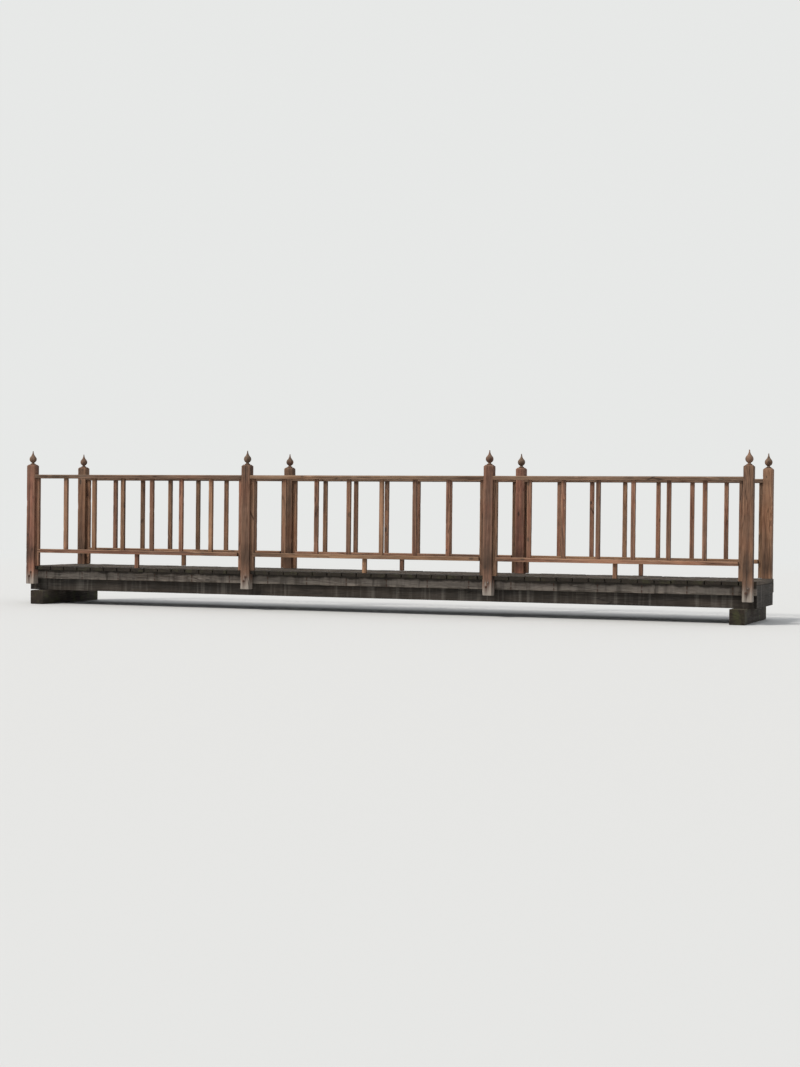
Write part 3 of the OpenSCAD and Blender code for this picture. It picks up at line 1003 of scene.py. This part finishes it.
# Rays for the nails' places start well outside the bridge.
outside_x, outside_y = cad_low.x * 2, cad_low.y * 2
nails = []
for rim, way in zip(rim_pieces, (1, -1)):
    row = rim_nail_gap * (np.arange(rim_nails) - (rim_nails - 1) / 2)
    clear = np.abs(row[:, None] - post_x).min(1) > post_reach + nail_from_post
    spots = [(x, way * outside_y, rim_foot + z) for x in row[clear] for z in rim_nail_height]
    nails.append(seated(rim, spots, (0, way, 0)))
for header, way in zip(header_pieces, (1, -1)):
    spots = [(way * outside_x, y, header_foot + rise)
             for y in (-stringer_gap, 0.0, stringer_gap) for rise in header_nail_rise]
    nails.append(seated(header, spots, (way, 0, 0)))
drive_nails("frame_nails", nails, 136)

# The posts: squared timbers bolted to the rim boards, with a chamfer cut round the top. They keep the red
# brown of their stain, apart from their tops, which are bleached, and their feet, which are paler grey. Most
# have split.
post_chamfer = 0.014
sun_bleached = srgb(162, 141, 121)
bolt_rise = 0.025, 0.064
bolt_aside = -0.010, 0.010
bolt_in_post = [rim_foot - post_low[0, Z] + rise for rise in bolt_rise]
# Heights over a post's foot: where its paler grey ends, where splashes begin and end, and how these wander.
pale_foot_to = 0.03, 0.15
splash_start = 0.2, 0.26
splash_end = 0.3, 0.5
fibre_wander = 0.05
pale_foot_share, splash_share = 0.75, 0.5
# A bolt's rust: how far it starts over the bolt, how wide and how long it has run, and how strong it is.
bolt_rust = srgb(58, 34, 24)
bolt_rust_reach = 0.02
bolt_rust_side = 0.006, 0.018
bolt_rust_run = 0.01, 0.11
bolt_rust_share = 0.6


def bolted(wood, colour, space, fibres):
    """Paler grey at the foot, darker where the deck splashes, with rust bled down from both bolts."""
    own = wood.attribute("place", "Vector")
    height = wood.part(own, "X")
    wavy = wood.plus(height, wood.offset(fibres, fibre_wander))
    colour = wood.mix(wood.step(wavy, *pale_foot_to, pale_foot_share, 0.0), colour, old_silver)
    splashed = wood.times(wood.step(wavy, *splash_start), wood.fade(wavy, *splash_end))
    colour = wood.mix(wood.times(splashed, splash_share), colour, dirt_and_painted_shade)
    for bolt, aside in zip(bolt_in_post, bolt_aside):
        narrow = wood.fade(wood.apart(wood.part(own, "Y"), aside), *bolt_rust_side)
        below = wood.math("SUBTRACT", bolt, height)
        run = wood.times(wood.step(below, -bolt_rust_reach, 0.0), wood.fade(below, *bolt_rust_run))
        colour = wood.mix(wood.times(run, narrow, bolt_rust_share), colour, bolt_rust)
    return colour


post_wood = wood_finish("red_post_wood", srgb(60, 36, 28), srgb(114, 75, 57), srgb(156, 113, 88),
                        silvering=0.25, grime=0.45, edge_colour=srgb(172, 132, 106), edge_wear=0.45,
                        faded=sun_bleached, weather=bolted)
for number, node in enumerate(posts):
    weathered_piece(node, Z, Z, 80 + number, post_wood, "posts", edge=0.005, step=0.02,
                    ends=(0.003, post_chamfer), end_round=0.5, check_depth=0.014, check_width=0.0016,
                    checked=0.75, twist=0.008)

# The bolts: two through each post, rim board and stringer, a little out of line so that the post doesn't
# split, with round heads on its outer face and a washer and nut inside. They are galvanised steel, dull and
# rusting.
bolt_r, bolt_end, bolt_ease = 0.006, 0.006, 0.001
bolt_head_r, bolt_head_h, bolt_head_sunk = 0.0115, 0.0052, 0.003
washer_r, washer_t, washer_sunk, washer_ease = 0.017, 0.003, 0.002, 0.0006
nut_r, nut_h, nut_sunk, nut_turn = 0.0115, 0.010, 0.001, 0.3
nut_ease_r, nut_ease_h = 0.0012, 0.001
head_sides, washer_sides, nut_sides, end_sides = 16, 20, 6, 12
outer_face = float(post_high[:, Y].max())
inner_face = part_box("back_stringer")[0].y
post_side = np.sign(post_low[:, Y])
bolt_steel = steel_finish("dull_bolt_steel", srgb(118, 114, 108), srgb(82, 54, 40), rusted=0.62)

bolt_x = np.repeat(post_x, 2) + np.tile(bolt_aside, len(posts))
bolt_side = np.repeat(post_side, 2)
bolt_z = np.tile([rim_foot + rise for rise in bolt_rise], len(posts))
outward = np.stack([0 * bolt_side, bolt_side, 0 * bolt_side], 1)
outside = np.stack([bolt_x, bolt_side * outer_face, bolt_z], 1)
inside = np.stack([bolt_x, bolt_side * inner_face, bolt_z], 1)

dome = np.radians(np.linspace(0, 78, 6))
head_profile = [(bolt_head_r, -bolt_head_sunk)]
head_profile += [(bolt_head_r * math.cos(a), bolt_head_h * math.sin(a)) for a in dome]
finish_piece(studs("post_bolts", head_profile, outside, outward, head_sides, 131), bolt_steel)
washer_profile = [(washer_r, -washer_sunk), (washer_r, washer_t - washer_ease),
                  (washer_r - washer_ease, washer_t)]
finish_piece(studs("bolt_washers", washer_profile, inside, -outward, washer_sides, 132), bolt_steel)
nut_top = washer_t + nut_h
nut_profile = [(nut_r, washer_t - nut_sunk), (nut_r, nut_top - nut_ease_h), (nut_r - nut_ease_r, nut_top)]
finish_piece(studs("bolt_nuts", nut_profile, inside, -outward, nut_sides, 133, nut_turn), bolt_steel)
end_top = nut_top + bolt_end
end_profile = [(bolt_r, washer_t), (bolt_r, end_top - bolt_ease), (bolt_r - bolt_ease, end_top)]
finish_piece(studs("bolt_ends", end_profile, inside, -outward, end_sides, 134), bolt_steel)

# The railing: in each bay a flat rail near the deck, between two stiles that stand against the posts, with
# square balusters from it to the handrail and a short block under its middle. All of it is the same stained
# softwood.
rail_wood = wood_finish("stained_rail_wood", srgb(66, 41, 30), srgb(121, 83, 61), srgb(166, 125, 96),
                        silvering=0.27, grime=0.4, edge_colour=srgb(186, 150, 120), edge_wear=0.5,
                        faded=sun_bleached)
bays = [side + "_" + bay for side in ("front", "back") for bay in ("left", "middle", "right")]
stick_boxes = {}
stick_pieces = {}
rail_pieces = {}
for number, bay in enumerate(bays):
    rail_pieces[bay] = weathered_piece(bay + "_bottom_rail", X, X, 90 + number, rail_wood, "bottom_rails",
                                       edge=0.004, step=0.03, checked=0.7, cup=0.001)
    stick_boxes[bay] = solids_along(bay + "_balusters", X)
    stick_pieces[bay] = weathered_piece(bay + "_balusters", X, Z, 100 + number, rail_wood, "balusters",
                                        edge=0.003, step=0.03, relief=0.0004, check_depth=0.004,
                                        check_width=0.0008, checked=0.4, twist=0.03)
for number, node in enumerate(("front_rail_blocks", "back_rail_blocks")):
    weathered_piece(node, X, Z, 110 + number, rail_wood, "bottom_rails", edge=0.003, step=0.02)

# The handrails: flat timbers between the posts, on the stiles and balusters. Hands have worn their top edges
# round and smooth, the sun has silvered their tops, and each nail into an upright has stained the wood round
# it.
side_sticks, middle_sticks = ((stick_boxes[bay][0][:, X] + stick_boxes[bay][1][:, X]) / 2
                              for bay in ("front_right", "front_middle"))
side_bay_middle = float(side_sticks.mean())
side_stick_gap = float(np.diff(side_sticks).mean())
middle_stick_gap = float(np.diff(middle_sticks).mean())
side_bay_start = float(np.abs(post_x).min())
# The stain round a nail: its edge and how it wanders, how it is drawn out along the grain, and its strength.
iron_stain = srgb(36, 25, 20)
stain_edge, stain_wander = (0.004, 0.014), 0.002
stain_along = 0.35
stain_share = 0.7


def nail_stained(wood, colour, space, fibres):
    """Iron stains that spread along the grain from a nail over each upright. The uprights of a bay lie half a
    gap, one and a half, and so on from the bay's middle, and the side bays lie alike at both ends of the
    bridge."""
    along = wood.math("ABSOLUTE", wood.part(space, "X"))
    in_side_bay = wood.math("GREATER_THAN", along, side_bay_start)
    from_middle = wood.apart(along, wood.times(in_side_bay, side_bay_middle))
    gap = wood.step(in_side_bay, 0.0, 1.0, middle_stick_gap, side_stick_gap)
    half_gap = wood.times(gap, 0.5)
    from_nail = wood.math("PINGPONG", wood.plus(from_middle, half_gap), half_gap)
    aside = wood.part(wood.attribute("place", "Vector"), "Y")
    away = wood.length(wood.joined(wood.times(from_nail, stain_along), aside))
    ragged = wood.plus(away, wood.offset(fibres, stain_wander))
    return wood.mix(wood.step(ragged, *stain_edge, stain_share, 0.0), colour, iron_stain)


handrail_wood = wood_finish("worn_handrail_wood", srgb(56, 36, 27), srgb(98, 68, 51), srgb(140, 106, 83),
                            silvering=0.4, grime=0.4, edge_colour=srgb(164, 132, 108), edge_wear=0.5,
                            faded=sun_bleached, weather=nail_stained)
handrail_pieces = {}
for number, bay in enumerate(bays):
    handrail_pieces[bay] = weathered_piece(bay + "_handrail", X, X, 120 + number, handrail_wood, "handrails",
                                           edge=0.007, step=0.03, check_depth=0.008, checked=0.7, cup=0.001)

# The railing's nails: one down through the handrail into each upright, one up through the bottom rail into
# each baluster, and three through each stile into its post. They are the same rusted steel as the deck's.
stile_nail_rise = 0.09, 0.42, 0.78
beside_stile = 0.02
bpy.context.view_layer.update()
nails = []
for bay in bays:
    low, high = stick_boxes[bay]
    x, y = ((low + high) / 2)[:, :2].T
    nails.append(seated(handrail_pieces[bay], np.stack([x, y, 0 * x + cad_high.z], 1), (0, 0, -1)))
    nails.append(seated(rail_pieces[bay], np.stack([x, y, 0 * x], 1)[1:-1], (0, 0, 1)))
    for stile, way in ((0, -1), (-1, 1)):
        beside = (high if way < 0 else low)[stile, X] - way * beside_stile
        spots = [(beside, y[stile], deck_top + rise) for rise in stile_nail_rise]
        nails.append(seated(stick_pieces[bay], spots, (way, 0, 0)))
drive_nails("rail_nails", nails, 135)

# The finials: one on each post, turned from one piece of softwood as a ball on a hollow neck, drawn up to a
# rounded tip. They have gone grey on top, and each ball has split a little.
foot_r, foot_h, foot_ease = 0.027, 0.008, 0.0015
cove_r, neck_r, neck_h = 0.010, 0.014, 0.012
ball_r, tip_r = 0.036, 0.005
finial_sides = 48
groove_depth, groove_half_angle, groove_half_height = 0.12, 0.07, 0.022
groove_shares = 0.2, 1.0
finial_dent, finial_dent_wavelength = 0.012, 0.05
finial_heart_aside, finial_grain_shift = 0.03, 50


def arc(middle_r, middle_z, radius, first, last, count):
    """Points of an arc, as radius and height, between two angles in degrees."""
    turn = np.radians(np.linspace(first, last, count))
    return np.stack([middle_r + radius * np.cos(turn), middle_z + radius * np.sin(turn)], 1)


def finial_outline(height):
    """The outline, as radius and height: an eased foot, a cove in to the neck, the ball, and a hollow arc
    that touches the ball and ends upright at the tip's round."""
    ball_z = foot_h + neck_h + math.sqrt(ball_r ** 2 - neck_r ** 2)
    tip_z = height - tip_r
    tip_rise = tip_z - ball_z
    hollow_r = (tip_rise ** 2 - ball_r ** 2 + tip_r ** 2) / (2 * (ball_r - tip_r))
    touch = math.degrees(math.atan2(tip_rise, tip_r + hollow_r))
    ball_start = -math.degrees(math.acos(neck_r / ball_r))
    return np.concatenate([
        [[foot_r - foot_ease, 0.0], [foot_r, foot_ease]],
        [[foot_r, foot_h - foot_ease], [foot_r - foot_ease, foot_h]],
        arc(neck_r + cove_r, foot_h + cove_r, cove_r, -90, -180, 7),
        arc(0.0, ball_z, ball_r, ball_start, touch, 22),
        arc(tip_r + hollow_r, tip_z, hollow_r, 180 + touch, 180, 12)[1:],
        arc(0.0, tip_z, tip_r, 0, 75, 5)[1:],
    ])


finial_wood = wood_finish("turned_finial_wood", srgb(56, 35, 27), srgb(100, 68, 52), srgb(144, 107, 84),
                          silvering=0.4, grime=0.5, edge_colour=srgb(170, 142, 120), edge_wear=0.3,
                          faded=sun_bleached, ring_gap=0.004)
for number, node in enumerate(("front_finials", "back_finials")):
    draw = np.random.default_rng(140 + number)
    low, high = solids_along(node, X)
    base = np.stack([(low[:, X] + high[:, X]) / 2, (low[:, Y] + high[:, Y]) / 2, low[:, Z]], 1)
    outline = finial_outline((high - low)[0, Z])
    upright = np.tile([0.0, 0.0, 1.0], (len(base), 1))
    local = turned(outline, 0 * base, upright, finial_sides)
    # One split runs up each ball: a groove round one angle, deepest near the ball's middle.
    split_at = draw.uniform(-np.pi, np.pi, (len(base), 1, 1))
    angle = np.arctan2(local[..., 1], local[..., 0]) - split_at
    round_angle = np.angle(np.exp(1j * angle)) / groove_half_angle
    up_ball = (local[..., 2] - outline[:, 1].mean()) / groove_half_height
    groove = np.exp(-round_angle ** 2) * np.exp(-up_ball ** 2)
    groove = groove * draw.uniform(*groove_shares, (len(base), 1, 1))
    dents = 1 + ripple(local + base[:, None, None] * 5, finial_dent_wavelength, 142 + number)
    local[..., :2] *= (1 - groove_depth * groove - finial_dent * dents)[..., None]
    heart = draw.uniform(-finial_heart_aside, finial_heart_aside, (len(base), 1, 1, 3))
    heart = heart + draw.uniform(0, finial_grain_shift, (len(base), 1, 1, 1)) * [0, 0, 1]
    finial = closed_tubes("worn_" + node, local + base[:, None, None], {
        "grain": (local + heart)[..., [2, 0, 1]],
        "place": local[..., [2, 0, 1]],
        "tone": draw.random((len(base), 1, 1)),
        "edge": 0 * groove,
        "check": groove ** 3,
        "end": 0 * groove,
    })
    finish_piece(finial, finial_wood, "finials", node)
